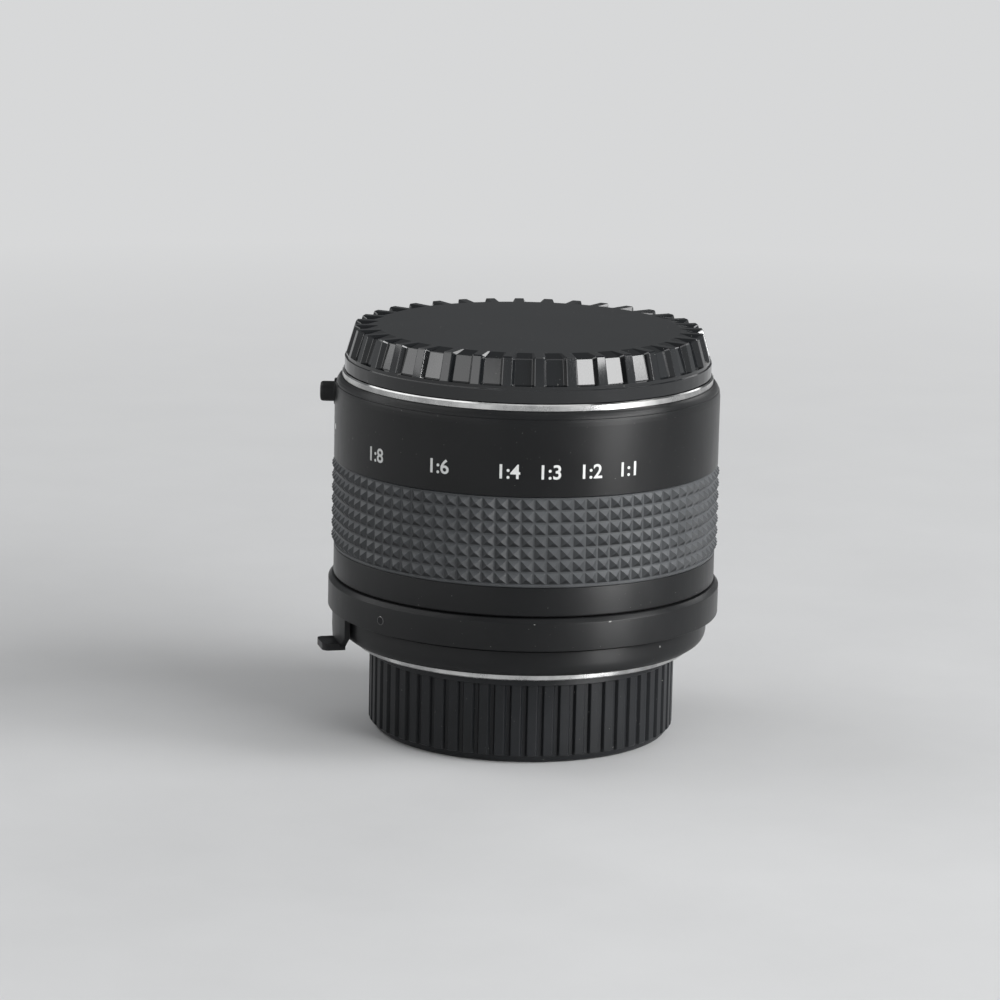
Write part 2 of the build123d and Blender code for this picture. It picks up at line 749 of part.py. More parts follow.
with BuildPart() as rear_cap:
    ring(0, rear_foot_radius, 0, rear_rib_low)
    fillet(rear_cap.edges().filter_by(GeomType.CIRCLE).sort_by(Axis.Z)[0], rear_foot_round)
    with BuildSketch(Plane.XY.offset(rear_rib_low)):
        with BuildLine():
            Polyline(rib_outline(rear_rib_radius, rear_rib_depth, rear_rib_count), close=True)
        make_face()
    extrude(amount=rear_cap_height - rear_lip - rear_rib_low)
    ring(0, rear_cap_radius, rear_cap_height - rear_lip, rear_cap_height)
    ring(0, rear_cap_bore, cap_wall, rear_cap_height + cut_margin, Mode.SUBTRACT)
    for azimuth in lug_azimuths:
        sector(throat_radius, rear_cap_bore + ring_gap, rear_claw_low, rear_cap_height, azimuth + claw_step,
               120 - gap_span)
save(rear_cap, "rear_cap")
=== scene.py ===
import json
from math import ceil, cos, degrees, hypot, pi, radians, sin

import bmesh
import bpy
from mathutils import Matrix, Quaternion, Vector


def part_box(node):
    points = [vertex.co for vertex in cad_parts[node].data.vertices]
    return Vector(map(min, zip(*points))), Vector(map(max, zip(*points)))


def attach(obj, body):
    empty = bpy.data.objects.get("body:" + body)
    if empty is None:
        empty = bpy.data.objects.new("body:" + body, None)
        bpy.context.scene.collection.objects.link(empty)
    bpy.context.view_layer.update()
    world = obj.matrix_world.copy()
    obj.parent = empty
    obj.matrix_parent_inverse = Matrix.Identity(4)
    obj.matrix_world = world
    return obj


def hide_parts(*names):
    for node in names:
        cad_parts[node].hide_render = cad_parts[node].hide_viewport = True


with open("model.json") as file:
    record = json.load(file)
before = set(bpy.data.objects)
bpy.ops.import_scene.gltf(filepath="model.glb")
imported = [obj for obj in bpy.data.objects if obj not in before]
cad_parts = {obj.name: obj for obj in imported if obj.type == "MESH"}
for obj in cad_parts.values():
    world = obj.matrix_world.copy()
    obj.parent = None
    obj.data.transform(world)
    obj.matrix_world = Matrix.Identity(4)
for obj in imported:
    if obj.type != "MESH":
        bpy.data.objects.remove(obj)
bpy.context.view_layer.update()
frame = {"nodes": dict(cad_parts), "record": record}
nodes = frame["nodes"]

# A macro-focusing teleconverter between its two caps. The optical axis is +Z and the picture is
# taken from -Y. Lengths are in metres, and mm turns a size in millimetres into metres. Azimuths
# are in degrees from +X.
mm = 0.001
TURN_STEPS = 360
LUG_AZIMUTHS = (90, 210, 330)
LUG_PITCH = 120
SCREW_AZIMUTHS = (45, 135, 225, 315)

# Sizes and travels that the CAD gives no node of its own
RUNNING_GAP = 0.15 * mm
BEARING_GAP = 0.1 * mm
CAP_WALL = 2.0 * mm
BAYONET_DEPTH = 5.2 * mm
LUG_SETBACK = 1.85 * mm
LUG_THICKNESS = 1.3 * mm
LUG_SPAN = 50
GAP_SPAN = 54
COUPLING_TURN = 40
FULL_EXTENSION = 22 * mm
GRIP_DEPTH = 0.64 * mm

# How round the edges are that meet a neighbour, and a window's room on each side, in degrees
SEAM = 0.04 * mm
WINDOW_MARGIN = 1.5

# Points closer than this are one point, and a radius below this is on the axis
WELD = 1e-7
ON_AXIS = 1e-6

# A square's corners, in order round it
SQUARE = ((-1, -1), (1, -1), (1, 1), (-1, 1))


def reach(node):
    """A node's inner radius, outer radius, lowest and highest point."""
    corners = nodes[node].data.vertices
    radii = [hypot(v.co.x, v.co.y) for v in corners]
    heights = [v.co.z for v in corners]
    return min(radii), max(radii), min(heights), max(heights)


def azimuths(node):
    """The lowest and highest azimuth of a node's points, in degrees from 0 to 360."""
    flat = [Vector((v.co.x, v.co.y)) for v in nodes[node].data.vertices]
    turned = [-degrees(Vector((1, 0)).angle_signed(point)) % 360 for point in flat]
    return min(turned), max(turned)


# Meshes


def placed(name, data):
    """A new object in the scene."""
    obj = bpy.data.objects.new(name, data)
    bpy.context.scene.collection.objects.link(obj)
    return obj


def piece(name, points, faces, material, body, replaces=(), crease=30):
    """A mesh that rides on a body. Edges sharper than crease degrees stay sharp."""
    mesh = bpy.data.meshes.new(name)
    mesh.from_pydata(points, [], faces)
    shape = bmesh.new()
    shape.from_mesh(mesh)
    bmesh.ops.remove_doubles(shape, verts=shape.verts, dist=WELD)
    bmesh.ops.dissolve_degenerate(shape, edges=shape.edges, dist=WELD)
    bmesh.ops.recalc_face_normals(shape, faces=shape.faces)
    shape.to_mesh(mesh)
    shape.free()
    mesh.shade_smooth()
    mesh.set_sharp_from_angle(angle=radians(crease))
    obj = placed(name, mesh)
    mesh.materials.append(material)
    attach(obj, body)
    if replaces:
        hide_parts(*replaces)
    return obj


def polar_point(radius, azimuth, z):
    """A point at an azimuth."""
    return Vector((radius * cos(radians(azimuth)), radius * sin(radians(azimuth)), z))


def rounded(outline, radius=0.12 * mm, steps=3):
    """A closed outline of (radius, height) points with rounded corners, which catch the light."""
    result = []
    count = len(outline)
    for i, corner in enumerate(outline):
        here = Vector(corner)
        back = Vector(outline[i - 1]) - here
        ahead = Vector(outline[(i + 1) % count]) - here
        if here.x < ON_AXIS:
            result.append(tuple(here))
            continue
        cut = min(radius, back.length * 0.45, ahead.length * 0.45)
        start = here + back.normalized() * cut
        end = here + ahead.normalized() * cut
        for k in range(steps + 1):
            t = k / steps
            result.append(tuple(start * (1 - t) ** 2 + here * 2 * t * (1 - t) + end * t**2))
    return result


def quarter_round(radius, across, top, rise, step):
    """The quarter round of an outline, from its foot out to its side at a radius."""
    return [(radius - across + across * sin(radians(a)), top - rise * cos(radians(a)))
            for a in range(0, 91, step)]


def swept(name, rows, material, body, replaces=(), crease=30, closed=True):
    """A solid whose outline changes round the axis: rows are (azimuth, outline), in order.

    It goes all the way round, or is closed by its first and last outline.
    """
    points, faces = [], []
    count = len(rows[0][1])
    for azimuth, outline in rows:
        points += [polar_point(r, azimuth, z) for r, z in outline]
    for i in range(len(rows) if closed else len(rows) - 1):
        j = (i + 1) % len(rows)
        for k in range(count):
            m = (k + 1) % count
            faces.append((i * count + k, j * count + k, j * count + m, i * count + m))
    if not closed:
        last = (len(rows) - 1) * count
        faces += [tuple(range(count)), tuple(range(last, last + count))]
    return piece(name, points, faces, material, body, replaces, crease)


def lathe(name, outline, material, body, replaces=(), cuts=()):
    """An outline turned about the axis. Cuts are (start, end, outline) where it differs."""
    rows = []
    for step in range(TURN_STEPS):
        azimuth = step * 360 / TURN_STEPS
        shape = outline
        for start, end, other in cuts:
            if start < azimuth < end:
                shape = other
        if rows and rows[-1][1] is not shape:
            edge = next(a for start, end, _ in cuts for a in (start, end)
                        if rows[-1][0] <= a <= azimuth)
            rows += [(edge, rows[-1][1]), (edge, shape)]
        rows.append((azimuth, shape))
    return swept(name, rows, material, body, replaces)


def ribbed(name, valley, crest, ribs, centre, face, flank, material, body, replaces, crease):
    """A solid with trapezoid ribs: valley and crest are its outlines between the ribs and on them.

    The crest is face degrees wide, each flank flank degrees, and centre is a rib's azimuth.
    """
    half = face / 2
    corner = 0.12 * flank
    side = [(half + flank, 0.0), (half + flank - corner, 0.05), (half + corner, 0.93),
            (half - corner, 1.0)]
    stations = [(-offset, share) for offset, share in side] + [(0.0, 1.0)] + side[::-1]
    rows = []
    for rib in range(ribs):
        for offset, share in stations:
            outline = [(r0 + (r1 - r0) * share, z0 + (z1 - z0) * share)
                       for (r0, z0), (r1, z1) in zip(valley, crest)]
            rows.append((centre + rib * 360 / ribs + offset, outline))
    return swept(name, rows, material, body, replaces, crease)


def arc_block(name, inner_r, outer_r, low, high, middle, width, material, body):
    """A piece of a ring with softened edges, centred on an azimuth and width degrees wide."""
    edge = 0.1 * mm
    steps = max(3, ceil(width / 3))
    corners = rounded([(inner_r, low), (outer_r, low), (outer_r, high), (inner_r, high)], edge, 2)
    centre = Vector(((inner_r + outer_r) / 2, (low + high) / 2))
    inset = [tuple(Vector(p) + (centre - Vector(p)).normalized() * edge) for p in corners]
    turn = degrees(edge / outer_r)
    start = middle - width / 2
    rows = [(start, inset), (start + turn, corners)]
    rows += [(start + turn + (width - 2 * turn) * k / steps, corners) for k in range(1, steps + 1)]
    rows.append((start + width, inset))
    return swept(name, rows, material, body, closed=False)


def spun(name, outline, origin, axis, material, body, replaces=(), steps=48):
    """An outline of (radius, distance) points turned about the line from origin along axis."""
    turn = Vector((0, 0, 1)).rotation_difference(Vector(axis))
    points, faces = [], []
    count = len(outline)
    for i in range(steps):
        angle = 2 * pi * i / steps
        points += [tuple(Vector(origin) + turn @ Vector((r * cos(angle), r * sin(angle), d)))
                   for r, d in outline]
    for i in range(steps):
        j = (i + 1) % steps
        for k in range(count - 1):
            faces.append((i * count + k, j * count + k, j * count + k + 1, i * count + k + 1))
    return piece(name, points, faces, material, body, replaces)


# Materials


def shader(name, **sockets):
    """A material with its principled shader. A socket's name has underscores for its spaces."""
    material = bpy.data.materials.new(name)
    material.use_nodes = True
    surface = material.node_tree.nodes["Principled BSDF"]
    for socket, value in sockets.items():
        surface.inputs[socket.replace("_", " ")].default_value = value
    return material, material.node_tree, surface


def add(tree, kind, sockets=None, **settings):
    """A shader node with its settings and sockets filled in."""
    node = tree.nodes.new(kind)
    for key, value in settings.items():
        setattr(node, key, value)
    for key, value in (sockets or {}).items():
        node.inputs[key].default_value = value
    return node


def noise(tree, scale, detail=4.0, rough=0.55, stretch=(1, 1, 1)):
    """A noise that sits on the object, with scale in features per metre."""
    place = add(tree, "ShaderNodeTexCoord")
    mapping = add(tree, "ShaderNodeMapping", {"Scale": stretch})
    texture = add(tree, "ShaderNodeTexNoise",
                  {"Scale": scale, "Detail": detail, "Roughness": rough})
    tree.links.new(place.outputs["Object"], mapping.inputs["Vector"])
    tree.links.new(mapping.outputs["Vector"], texture.inputs["Vector"])
    return texture.outputs["Fac"]


def axis_distance(tree):
    """How far a point is from the optical axis, and its height."""
    place = add(tree, "ShaderNodeTexCoord")
    flat = add(tree, "ShaderNodeVectorMath", {1: (1, 1, 0)}, operation="MULTIPLY")
    length = add(tree, "ShaderNodeVectorMath", operation="LENGTH")
    split = add(tree, "ShaderNodeSeparateXYZ")
    tree.links.new(place.outputs["Object"], flat.inputs[0])
    tree.links.new(flat.outputs["Vector"], length.inputs[0])
    tree.links.new(place.outputs["Object"], split.inputs["Vector"])
    return length.outputs["Value"], split.outputs["Z"]


def outlook(tree):
    """Which way a face looks: 1 up, 0 sideways and -1 down."""
    split = add(tree, "ShaderNodeSeparateXYZ")
    tree.links.new(add(tree, "ShaderNodeTexCoord").outputs["Normal"], split.inputs["Vector"])
    return split.outputs["Z"]


def ramp(tree, source, stops):
    """A colour ramp on a value: stops are (place, colour)."""
    node = add(tree, "ShaderNodeValToRGB")
    elements = node.color_ramp.elements
    while len(elements) < len(stops):
        elements.new(0.5)
    for element, (place, colour) in zip(elements, stops):
        element.position = place
        element.color = (*colour, 1.0)
    tree.links.new(source, node.inputs["Fac"])
    return node.outputs["Color"]


def span(tree, source, to_low, to_high, from_low=0.0, from_high=1.0):
    """A value stretched from one range to another, and held at its ends."""
    ends = {"From Min": from_low, "From Max": from_high, "To Min": to_low, "To Max": to_high}
    node = add(tree, "ShaderNodeMapRange", ends)
    tree.links.new(source, node.inputs["Value"])
    return node.outputs["Result"]


def calculate(tree, operation, *values):
    """A sum, product or other result of values and sockets."""
    node = add(tree, "ShaderNodeMath", operation=operation)
    for socket, value in zip(node.inputs, values):
        if isinstance(value, (int, float)):
            socket.default_value = value
        else:
            tree.links.new(value, socket)
    return node.outputs["Value"]


def blend(tree, factor, below, above):
    """One colour over another. Each is a socket or a fixed colour."""
    node = add(tree, "ShaderNodeMix", data_type="RGBA")
    tree.links.new(factor, node.inputs["Factor"])
    for socket, colour in (("A", below), ("B", above)):
        if isinstance(colour, tuple):
            node.inputs[socket].default_value = (*colour, 1.0)
        else:
            tree.links.new(colour, node.inputs[socket])
    return node.outputs["Result"]


def bump(tree, surface, source, strength, distance):
    """Fine relief from a value."""
    node = add(tree, "ShaderNodeBump", {"Strength": strength, "Distance": distance})
    tree.links.new(source, node.inputs["Height"])
    tree.links.new(node.outputs["Normal"], surface.inputs["Normal"])


def sight(tree):
    """1 for what the camera sees itself or in gloss and glass, and 0 for what lights the object."""
    rays = add(tree, "ShaderNodeLightPath").outputs
    mirrored = calculate(tree, "ADD", rays["Is Glossy Ray"], rays["Is Transmission Ray"])
    return calculate(tree, "MINIMUM", calculate(tree, "ADD", mirrored, rays["Is Camera Ray"]), 1.0)


DUST = (0.32, 0.32, 0.30)
RUB_SHARE = 0.11
FLAT_FINISH = 0.42
GROOVE_SHARE = 0.12


def worn_black(name, dark, light, rough_low, rough_high, grain, grain_depth, dust, **sockets):
    """Black paint or moulding: fine grain, cloudy sheen, specks of dust and hairline rubs."""
    material, tree, surface = shader(name, **sockets)
    cloud = noise(tree, 70, 5)
    motes = span(tree, noise(tree, 2600, 2, 0.5), 0, dust, from_low=0.745, from_high=0.79)
    base = ramp(tree, cloud, [(0.3, dark), (0.7, light)])
    tree.links.new(blend(tree, motes, base, DUST), surface.inputs["Base Color"])
    rub = RUB_SHARE * rough_high
    rubs = span(tree, noise(tree, 900, 3, 0.6, stretch=(1, 1, 0.12)), -rub, rub)
    sheen = span(tree, cloud, rough_low, rough_high, from_low=0.3, from_high=0.7)
    tree.links.new(calculate(tree, "ADD", sheen, rubs), surface.inputs["Roughness"])
    bump(tree, surface, noise(tree, grain, 3, 0.6), 0.5, grain_depth)
    return material


def turned_metal(name, dark, light, rough_low, rough_high, **sockets):
    """Metal with the fine rings of turning and faint smudges, smoother on its flat faces."""
    material, tree, surface = shader(name, Metallic=1.0, **sockets)
    smudge = noise(tree, 110, 5, 0.6)
    distance, height = axis_distance(tree)
    rings = add(tree, "ShaderNodeTexNoise", {"Scale": 9000, "Detail": 3.0}, noise_dimensions="1D")
    tree.links.new(calculate(tree, "ADD", distance, height), rings.inputs["W"])
    colour = ramp(tree, smudge, [(0.38, dark), (0.62, light)])
    tree.links.new(colour, surface.inputs["Base Color"])
    finish = span(tree, calculate(tree, "ABSOLUTE", outlook(tree)), 1.0, FLAT_FINISH)
    sheen = span(tree, smudge, rough_low, rough_high, from_low=0.35, from_high=0.65)
    tree.links.new(calculate(tree, "MULTIPLY", sheen, finish), surface.inputs["Roughness"])
    bump(tree, surface, rings.outputs["Fac"], 0.4, 0.002 * mm)
    return material


def rubber(name, valley, crest):
    """Moulded rubber with dust in its grooves and on the faces that look up, which are also painted
    lighter as light from above; faces that look down get painted shade.
    """
    material, tree, surface = shader(name, Specular_IOR_Level=0.4)
    cloud = noise(tree, 240, 5)
    distance, _ = axis_distance(tree)
    groove_top = valley + GROOVE_SHARE * (crest - valley)
    groove = span(tree, distance, 0.7, 0, from_low=valley, from_high=groove_top)
    # Painted light and shade: faces that look up take the lighter colour and faces that look down
    # the darker one, as if lit from above, with some real dust on the upper faces.
    dust_and_top_light = span(tree, outlook(tree), 0, 1, from_low=-0.4, from_high=0.4)
    clean_and_shaded = ramp(tree, cloud, [(0.3, (0.018, 0.019, 0.020)), (0.7, (0.026, 0.028, 0.030))])
    dusty_and_lit = ramp(tree, cloud, [(0.3, (0.066, 0.070, 0.074)), (0.7, (0.086, 0.091, 0.096))])
    # The mask that lightens the rubber: dust in the grooves, and dust with painted light on the
    # faces that look up.
    dust = calculate(tree, "MAXIMUM", groove, dust_and_top_light)
    tree.links.new(blend(tree, dust, clean_and_shaded, dusty_and_lit), surface.inputs["Base Color"])
    sheen = span(tree, cloud, 0.34, 0.46, from_low=0.3, from_high=0.7)
    tree.links.new(sheen, surface.inputs["Roughness"])
    bump(tree, surface, noise(tree, 9000, 3, 0.6), 0.5, 0.015 * mm)
    return material


def coated_glass(name, plain, tint):
    """Optical glass with a faint coloured coating."""
    material, tree, surface = shader(name, Transmission_Weight=0.92, IOR=1.6)
    film = noise(tree, 60, 3)
    tree.links.new(ramp(tree, film, [(0.3, plain), (0.7, tint)]), surface.inputs["Base Color"])
    tree.links.new(span(tree, film, 0.01, 0.04), surface.inputs["Roughness"])
    return material


def paint(name, colour):
    """The paint of printed marks, a little worn."""
    material, tree, surface = shader(name, Roughness=0.45)
    cloud = noise(tree, 900, 3)
    worn = tuple(c * 0.86 for c in colour)
    tree.links.new(ramp(tree, cloud, [(0.3, worn), (0.7, colour)]), surface.inputs["Base Color"])
    bump(tree, surface, cloud, 0.3, 0.01 * mm)
    return material


TURNED = {"Anisotropic": 0.8, "Anisotropic_Rotation": 0.25}
satin = worn_black(
    "satin_black_paint", dark=(0.005, 0.0053, 0.0057), light=(0.009, 0.0094, 0.010),
    rough_low=0.36, rough_high=0.43, grain=5200, grain_depth=0.010 * mm, dust=0.5,
    Specular_IOR_Level=0.27, **TURNED)
inner = worn_black(
    "inner_black", dark=(0.009, 0.009, 0.010), light=(0.015, 0.015, 0.016),
    rough_low=0.5, rough_high=0.65, grain=4200, grain_depth=0.015 * mm, dust=0.2,
    Specular_IOR_Level=0.2)
gloss_cap = worn_black(
    "gloss_cap_plastic", dark=(0.005, 0.006, 0.007), light=(0.008, 0.009, 0.010),
    rough_low=0.090, rough_high=0.105, grain=1500, grain_depth=0.002 * mm, dust=1.0,
    Specular_IOR_Level=0.6)
satin_cap = worn_black(
    "satin_cap_plastic", dark=(0.009, 0.010, 0.011), light=(0.015, 0.016, 0.018),
    rough_low=0.34, rough_high=0.46, grain=3600, grain_depth=0.012 * mm, dust=0.8,
    Specular_IOR_Level=0.25)
chrome = turned_metal("mount_chrome", (0.36, 0.36, 0.36), (0.66, 0.66, 0.65), 0.22, 0.34, **TURNED)
steel = turned_metal("plated_steel", (0.42, 0.42, 0.41), (0.6, 0.6, 0.59), 0.22, 0.36)
brass = turned_metal("machined_brass", (0.52, 0.38, 0.16), (0.7, 0.52, 0.25), 0.25, 0.4)
blackened = turned_metal("blackened_steel", (0.08, 0.08, 0.08), (0.2, 0.2, 0.2), 0.3, 0.45)
bare_metal = turned_metal("bare_aluminium", (0.28, 0.28, 0.27), (0.46, 0.46, 0.45), 0.35, 0.5)
grip_in, grip_r, grip_low, grip_high = reach("rubber_grip")
grip_rubber = rubber("grip_rubber", grip_r - GRIP_DEPTH, grip_r)
glass = coated_glass("coated_glass", (0.9, 0.93, 0.96), (0.82, 0.78, 0.93))
white_paint = paint("white_paint", (0.80, 0.81, 0.80))

slot_material = {
    "satin_black": satin,
    "inner_black": inner,
    "mount_chrome": chrome,
    "steel": steel,
    "brass": brass,
    "grip_rubber": grip_rubber,
    "front_cap_plastic": gloss_cap,
    "rear_cap_plastic": satin_cap,
    "glass": glass,
}
for part in frame["record"]["subparts"]:
    mesh = nodes[part["node"]].data
    mesh.materials.clear()
    mesh.materials.append(slot_material[part["material_slot"]])

# Front barrel, with the window of the fork and the slot of the lock pin

PIN_SLOT = (165.5, 170.5)
barrel_in, barrel_r, barrel_low, barrel_top = reach("front_barrel")
sleeve_in, _, _, shelf_low = reach("front_sleeve")
seat_r, ring_r, seat_z, ring_top = reach("front_coupling_ring")
focus_in, focus_r, focus_low, focus_high = reach("focus_ring")
pin_low, pin_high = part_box("lock_pin")
pin_r = hypot((pin_low.x + pin_high.x) / 2, (pin_low.y + pin_high.y) / 2)
barrel_bore = reach("focus_retainer")[1] + RUNNING_GAP
lip_bore = focus_in + 0.9 * mm
lip_top = focus_high - RUNNING_GAP
seat_edge = seat_r - BEARING_GAP
seat_floor = seat_z - BEARING_GAP
pin_out = pin_r + 1.0 * mm
pin_bottom = shelf_low + 0.3 * mm


def barrel_outline(shelf_edge, seat, notch):
    """The barrel's section: its shelf's inner edge, the height there, and its notch's floor."""
    return rounded([
        (lip_bore, barrel_low),
        (barrel_r, barrel_low),
        (barrel_r, seat_floor - 1.1 * mm),
        (barrel_r - 0.06 * mm, seat_floor - 0.5 * mm),
        (barrel_r - 0.17 * mm, seat_floor),
        (seat_edge, seat_floor),
        (seat_edge, seat),
        (pin_out, seat),
        (pin_out - 0.05 * mm, notch),
        (shelf_edge, notch),
        (shelf_edge, shelf_low),
        (barrel_bore, shelf_low),
        (barrel_bore, lip_top),
        (lip_bore, lip_top),
    ], SEAM)


fork_start, fork_end = azimuths("coupling_fork")
low_seat = seat_floor - 0.05 * mm
lathe("barrel", barrel_outline(barrel_in, barrel_top, barrel_top), satin, "front",
      ["front_barrel"], cuts=[
          (fork_start - WINDOW_MARGIN, fork_end + COUPLING_TURN + WINDOW_MARGIN,
           barrel_outline(sleeve_in, low_seat, low_seat)),
          (*PIN_SLOT, barrel_outline(barrel_in, barrel_top, pin_bottom)),
      ])

RING_LUG_AZIMUTH, RING_LUG_SPAN = 70, 6
flange_r = reach("front_mount_ring")[1]
ring_high = barrel_top - BEARING_GAP
lathe("front_ring", rounded([
    (seat_r, seat_floor + 0.04 * mm),
    (ring_r - 0.18 * mm, seat_floor + 0.04 * mm),
    (ring_r - 0.32 * mm, seat_floor + 0.4 * mm),
    (ring_r - 0.56 * mm, seat_floor + 0.78 * mm),
    (ring_r - 0.85 * mm, seat_floor + 1.06 * mm),
    (flange_r + BEARING_GAP, ring_high),
    (seat_r, ring_high),
], SEAM), satin, "front_coupling", ["front_coupling_ring"])
arc_block("front_ring_lug", flange_r + RUNNING_GAP, barrel_r - RUNNING_GAP, seat_z + 0.3 * mm,
          ring_top, RING_LUG_AZIMUTH, RING_LUG_SPAN, satin, "front_coupling")

# Release button, in its dark bore. The dome is (share of the radius, millimetres below the top)

button_low, button_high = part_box("release_button")
button_r = (button_high.y - button_low.y) / 2
button_z = (button_high.z + button_low.z) / 2
button_length = button_high.x - button_low.x
dome = [(1.0, 0.62), (0.97, 0.34), (0.9, 0.15), (0.78, 0.05), (0.6, 0.01), (0.0, 0.0)]
spun("button",
     [(0, 0), (button_r, 0)] + [(button_r * r, button_length - d * mm) for r, d in dome],
     (button_high.x, 0, button_z), (-1, 0, 0), satin, "button", ["release_button"])
bore_r = button_r + RUNNING_GAP
bore_in = button_r + 0.03 * mm
bore_out = bore_r + 0.42 * mm
spun("button_bore",
     [(bore_in, -0.5 * mm), (bore_in, 0.05 * mm), (bore_r, 0.12 * mm),
      (bore_r + 0.3 * mm, 0.1 * mm), (bore_out, -0.02 * mm), (bore_out, -0.5 * mm)],
     (-barrel_r, 0, button_z), (-1, 0, 0), inner, "front")

# Rubber grip: rows of square pyramids with flat grooves between them, above a plain lip

GRIP_ROWS = 7
GRIP_COLUMNS = 95
GRIP_LIP = 0.45 * mm
GRIP_LAND = 0.15 * mm
GRIP_EDGE = 0.1 * mm
GROOVE = 0.13 * mm
TIP = 0.04 * mm


def rubber_pyramids(name, inner_r, outer_r, low, high):
    """The grip between two radii and two heights."""
    valley = outer_r - GRIP_DEPTH
    pitch = (high - low - GRIP_LIP - GRIP_LAND) / GRIP_ROWS
    turn = 2 * pi / GRIP_COLUMNS
    points, faces = [], []

    def ring_of(radius, z):
        first = len(points)
        points.extend((radius * cos(turn * c), radius * sin(turn * c), z)
                      for c in range(GRIP_COLUMNS))
        return first

    def join(lower, upper):
        for c in range(GRIP_COLUMNS):
            d = (c + 1) % GRIP_COLUMNS
            faces.append((lower + c, lower + d, upper + d, upper + c))

    levels = [low + GRIP_LIP + row * pitch for row in range(GRIP_ROWS + 1)]
    grid = [ring_of(valley, z) for z in levels]
    foot = [ring_of(inner_r, low), ring_of(valley + GRIP_EDGE, low),
            ring_of(valley + 2 * GRIP_EDGE, low + GRIP_EDGE),
            ring_of(valley + 2 * GRIP_EDGE, levels[0] - GRIP_EDGE),
            ring_of(valley + GRIP_EDGE, levels[0])]
    head = [grid[-1], ring_of(valley, high - GRIP_EDGE), ring_of(valley - GRIP_EDGE, high),
            ring_of(inner_r, high)]
    for a, b in zip(foot + head, foot[1:] + [grid[0]] + head[1:] + [foot[0]]):
        join(a, b)
    for row in range(GRIP_ROWS):
        z_middle = (levels[row] + levels[row + 1]) / 2
        for c in range(GRIP_COLUMNS):
            d = (c + 1) % GRIP_COLUMNS
            middle = turn * (c + 0.5)
            squares = [(grid[row] + c, grid[row] + d, grid[row + 1] + d, grid[row + 1] + c)]
            for radius, across, height in ((valley, turn / 2 - GROOVE / valley, pitch / 2 - GROOVE),
                                           (outer_r, TIP / outer_r, TIP)):
                first = len(points)
                for side, rise in SQUARE:
                    angle = middle + side * across
                    points.append((radius * cos(angle), radius * sin(angle),
                                   z_middle + rise * height))
                squares.append(tuple(range(first, first + 4)))
            for lower, upper in zip(squares, squares[1:]):
                for k in range(4):
                    m = (k + 1) % 4
                    faces.append((lower[k], lower[m], upper[m], upper[k]))
            faces.append(squares[-1])
    return piece(name, points, faces, grip_rubber, "focus", ["rubber_grip"],
                 crease=12)


rubber_pyramids("grip", grip_in, grip_r, grip_low, grip_high)

# Focusing ring

grip_seat = grip_in - 0.05 * mm
grip_play = 0.02 * mm
focus_chamfer = 0.25 * mm
neck_outer = lip_bore - RUNNING_GAP
lathe("focus_band", rounded([
    (focus_in, focus_low),
    (focus_r - focus_chamfer, focus_low),
    (focus_r, focus_low + focus_chamfer),
    (focus_r, grip_low - grip_play),
    (grip_seat, grip_low - grip_play),
    (grip_seat, grip_high + grip_play),
    (neck_outer, grip_high + grip_play),
    (neck_outer, focus_high),
    (focus_in, focus_high),
], 0.1 * mm), satin, "focus", ["focus_ring"])

# Front cap: flat panels between ribs that run in over its rim, and three lugs on its tube

FRONT_RIBS = 36
FRONT_RIB_CENTRE = 3.6
FRONT_RIB_FACE, FRONT_RIB_FLANK = 2.8, 0.95
PANEL_DEPTH = 0.85 * mm
PANEL_DROP = 0.45 * mm
LUG_TIP_R = 24 * mm
cap_r, cap_low, cap_top = reach("front_cap")[1:]
mount_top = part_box("front_mount_ring")[1].z
cap_foot = mount_top + BEARING_GAP
cap_edge = 0.12 * mm
rib_low = cap_top - 4.6 * mm
rib_r = cap_r - 0.25 * mm
rib_start = (rib_r, rib_low - 0.02 * mm)
rim_r = rib_r - 1.3 * mm
disc_r = rim_r - 3.85 * mm
skirt_bore = cap_r - 2.6 * mm
skirt_ceiling = cap_top - 2.6 * mm
skirt_top = rib_low - 0.6 * mm
disc_low = cap_top - CAP_WALL
cap_tube_r = 22.3 * mm
cap_tube_bore = cap_tube_r - 1.4 * mm
cap_under = rounded([
    (0, disc_low),
    (cap_tube_bore, disc_low),
    (cap_tube_bore, cap_low),
    (cap_tube_r, cap_low),
    (cap_tube_r, skirt_ceiling),
    (skirt_bore, skirt_ceiling),
    (skirt_bore, cap_foot),
    (cap_r, cap_foot),
    (cap_r, skirt_top),
    (rib_r, skirt_top),
    rib_start,
], 0.1 * mm)[:-4] + [rib_start]
disc = [(disc_r, cap_top), (disc_r * 0.5, cap_top), (0, cap_top)]
valley_r = rib_r - PANEL_DEPTH
valley_rim = rim_r - PANEL_DEPTH
valley_top = cap_top - PANEL_DROP
cap_valley = cap_under + [
    (valley_r + 0.3 * mm, rib_low),
    (valley_r, rib_low + 0.02 * mm),
    (valley_r, rib_low + cap_edge),
    (valley_rim + 0.02 * mm, valley_top - cap_edge),
    (valley_rim - cap_edge, valley_top),
] + disc
cap_crest = cap_under + [
    (rib_r, rib_low),
    (rib_r, rib_low + 0.02 * mm),
    (rib_r - 0.02 * mm, rib_low + cap_edge),
    (rim_r + 0.03 * mm, cap_top - 1.6 * cap_edge),
    (rim_r - cap_edge, cap_top),
] + disc
ribbed("front_cap_shell", cap_valley, cap_crest, FRONT_RIBS, FRONT_RIB_CENTRE, FRONT_RIB_FACE,
       FRONT_RIB_FLANK, gloss_cap, "front_cap", ["front_cap"], crease=5)
lug_top = mount_top - LUG_SETBACK
for azimuth in LUG_AZIMUTHS:
    arc_block(f"front_cap_lug_{azimuth}", cap_tube_r - 0.2 * mm, LUG_TIP_R,
              lug_top - LUG_THICKNESS, lug_top, azimuth, LUG_SPAN, gloss_cap, "front_cap")

# Rear cap: a ribbed cup with three claws in its mouth

